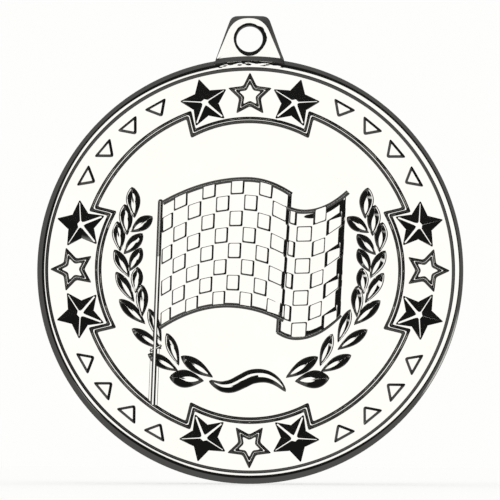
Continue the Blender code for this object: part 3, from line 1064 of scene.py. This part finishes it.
def lug_outline(left_inset, right_inset, corner, foot_shift):
    """Anticlockwise from the right of the foot, each side moved in by its own inset."""
    foot_radius = LUG_FOOT_RADIUS + foot_shift
    foot_up = math.sqrt(LUG_FOOT_RADIUS ** 2 - LUG_FOOT_HALF_WIDTH ** 2)
    top = LUG_TOP - min(left_inset, right_inset)
    lean = (LUG_FOOT_HALF_WIDTH - LUG_TOP_HALF_WIDTH) / (LUG_TOP - foot_up)

    def sides(up):
        half = LUG_TOP_HALF_WIDTH + (LUG_TOP - up) * lean
        return (half - right_inset + LUG_SHIFT, up), (-(half - left_inset) + LUG_SHIFT, up)

    foot_right, foot_left = sides(foot_up)
    steps = 8
    foot_points = 2 * (steps + 1)
    upper = rounded([foot_left, foot_right, *sides(top)], corner, steps)[foot_points:]
    first = math.degrees(math.asin(foot_left[0] / foot_radius))
    last = math.degrees(math.asin(foot_right[0] / foot_radius))
    return upper + arc(foot_radius, 90 - first, 90 - last, 40)


def make_lug(material):
    """The lug's skin in rings round its hole, with every edge rounded by a ring or two.

    From the back's edge they go over the front's edge and flank to the face, the lip, the bore
    and the flat of the back.
    """
    directions = [360 * section / LUG_SECTIONS for section in range(LUG_SECTIONS)]

    def reaches(outline):
        return [reach(outline, degrees) for degrees in directions]

    def all_round(value):
        return [value] * LUG_SECTIONS

    def between(first, second, share):
        return [mix(one, other, share) for one, other in zip(first, second)]

    def less(values, amount):
        return [value - amount for value in values]

    def place(degrees, radius):
        x, y = polar(radius, degrees)
        return HOLE_CENTRE[0] + x, HOLE_CENTRE[1] + y

    def ring(radii, heights):
        return [
            bm.verts.new(stand(*place(degrees, radius), height))
            for degrees, radius, height in zip(directions, radii, heights)
        ]

    edges, faces, backs = [
        reaches(lug_outline(*insets))
        for insets in (LUG_EDGE_OUTLINE, LUG_FACE_OUTLINE, LUG_BACK_OUTLINE)
    ]
    lips = []
    for degrees, inner in zip(directions, faces):
        lip = LIP_WIDTH + sum(extra * bump(degrees, *where) for extra, *where in LIP_EXTRAS)
        ripple = noise.noise(Vector((degrees * LIP_RIPPLES_PER_DEGREE, 1.7, 0)))
        lip += LIP_RIPPLE * ripple * (1 + 2 * bump(degrees, *LIP_RIPPLE_SIDE))
        lips.append(min(HOLE_RADIUS + lip, inner - 0.02))
    falls = []
    for degrees, outer, inner in zip(directions, edges, faces):
        outer_radius, inner_radius = [
            math.dist((0, 0), place(degrees, radius)) for radius in (outer, inner)
        ]
        if outer_radius < LUG_RAMP_RADIUS:
            falls.append(LUG_FRONT + LUG_RAMP_TILT * (inner_radius - outer_radius))
        else:
            falls.append(LUG_FRONT - min(LUG_FLANK_DEPTH, LUG_FLANK_TILT * (outer - inner)))
    bm = bmesh.new()
    front, bore = all_round(LUG_FRONT), all_round(HOLE_RADIUS)
    worn = [LUG_FRONT - LIP_TILT * (lip - HOLE_RADIUS) for lip in lips]
    skin(bm, [
        ring(edges, all_round(LUG_BACK + 0.15)),
        ring(less(edges, 0.01), less(falls, 0.10)),
        ring(less(edges, 0.05), falls),
        ring(between(faces, edges, 0.12), between(front, falls, 0.12)),
        ring(faces, front),
        ring(between(lips, faces, 0.5), front),
        ring(lips, front),
        ring(between(lips, bore, 0.92), worn),
        ring(bore, less(worn, 0.10)),
        ring(bore, all_round(LUG_BACK + 0.20)),
        ring(less(bore, -0.12), all_round(LUG_BACK + 0.02)),
        ring(less(bore, -0.20), all_round(LUG_BACK)),
        ring(backs, all_round(LUG_BACK)),
    ], wrap=True)
    lug = make_piece("lug", bm, material, sharp=15)
    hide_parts("suspension_lug")


# ---------------------------------------------------------------- studio

def build_world():
    """A white room for the floor and the camera, and a photographer's reflectors for the metal."""
    world = bpy.data.worlds.new("studio")
    bpy.context.scene.world = world
    world.use_nodes = True
    tree = world.node_tree
    tree.nodes.clear()
    towards = add_node(tree, "TexCoord", {}).outputs["Generated"]

    def patch(azimuth, elevation, inner, outer, brightness):
        """A round reflector: full brightness inside one angle, none outside another."""
        a, e = math.radians(azimuth), math.radians(elevation)
        centre = (math.sin(a) * math.cos(e), -math.cos(a) * math.cos(e), math.sin(e))
        cosines = math.cos(math.radians(outer)), math.cos(math.radians(inner))
        return add_ramp(tree, add_dot(tree, towards, centre), *cosines, 0, brightness)

    card = patch(*CARD)
    for axis, start, full in CARD_SIDES:
        sines = math.sin(math.radians(start)), math.sin(math.radians(full))
        side = add_ramp(tree, add_dot(tree, towards, axis), *sines, 0, 1)
        card = add_math(tree, "MULTIPLY", card, side)
    light = add_math(tree, "ADD", card, ROOM_GLOW)
    for reflector in REFLECTORS:
        light = add_math(tree, "ADD", light, patch(*reflector))

    metal = add_node(tree, "Background", {"Strength": light})
    room = add_node(tree, "Background", {"Color": BACKGROUND, "Strength": BACKGROUND_STRENGTH})
    chosen = add_node(tree, "MixShader", {
        "Fac": add_node(tree, "LightPath", {}).outputs["Is Glossy Ray"],
        1: room.outputs["Background"],
        2: metal.outputs["Background"],
    })
    add_node(tree, "OutputWorld", {"Surface": chosen.outputs["Shader"]})


def build_floor():
    bm = bmesh.new()
    bmesh.ops.create_circle(bm, cap_ends=True, segments=96, radius=FLOOR_RADIUS * MM)
    mesh = bpy.data.meshes.new("floor")
    bm.to_mesh(mesh)
    bm.free()
    floor = bpy.data.objects.new("floor", mesh)
    floor.location.z = DISC_LOW.z
    floor.visible_glossy = False
    material = bpy.data.materials.new("pale_floor")
    material.use_nodes = True
    connect(material.node_tree, material.node_tree.nodes["Principled BSDF"], {
        "Base Color": FLOOR_COLOUR,
        "Roughness": 1.0,
        "Specular IOR Level": 0.0,
        "Emission Color": BACKGROUND,
        "Emission Strength": FLOOR_GLOW,
    })
    mesh.materials.append(material)
    bpy.context.scene.collection.objects.link(floor)


def build_camera():
    azimuth, elevation = math.radians(CAMERA_AZIMUTH), math.radians(CAMERA_ELEVATION)
    camera = bpy.data.objects.new("camera", bpy.data.cameras.new("camera"))
    camera.data.lens = CAMERA_LENS
    camera.data.sensor_width = SENSOR_WIDTH
    distance = FRAME_WIDTH * MM * CAMERA_LENS / SENSOR_WIDTH
    level = math.cos(elevation)
    away = Vector((math.sin(azimuth) * level, -math.cos(azimuth) * level, math.sin(elevation)))
    camera.location = Vector(CAMERA_TARGET) * MM + away * distance
    roll = Quaternion((0, 0, 1), math.radians(CAMERA_ROLL))
    camera.rotation_mode = "QUATERNION"
    camera.rotation_quaternion = (-away).to_track_quat("-Z", "Y") @ roll
    camera.data.clip_start = distance * 0.01
    camera.data.clip_end = distance * 100
    bpy.context.scene.collection.objects.link(camera)
    bpy.context.scene.camera = camera


def main():
    bpy.context.scene.view_settings.view_transform = "Standard"
    face = polished_metal("disc_nickel", *FACE_METAL)
    relief = polished_metal("relief_nickel", *RELIEF_METAL)
    lug = polished_metal("lug_nickel", *LUG_METAL)
    make_disc(face)
    make_bead(relief)
    make_outlined_stars(relief)
    make_faceted_stars(relief)
    make_triangles(relief)
    make_laurel(relief)
    make_scroll(relief)
    make_flag(relief)
    make_pole(relief)
    make_lug(lug)
    build_world()
    build_floor()
    build_camera()


main()
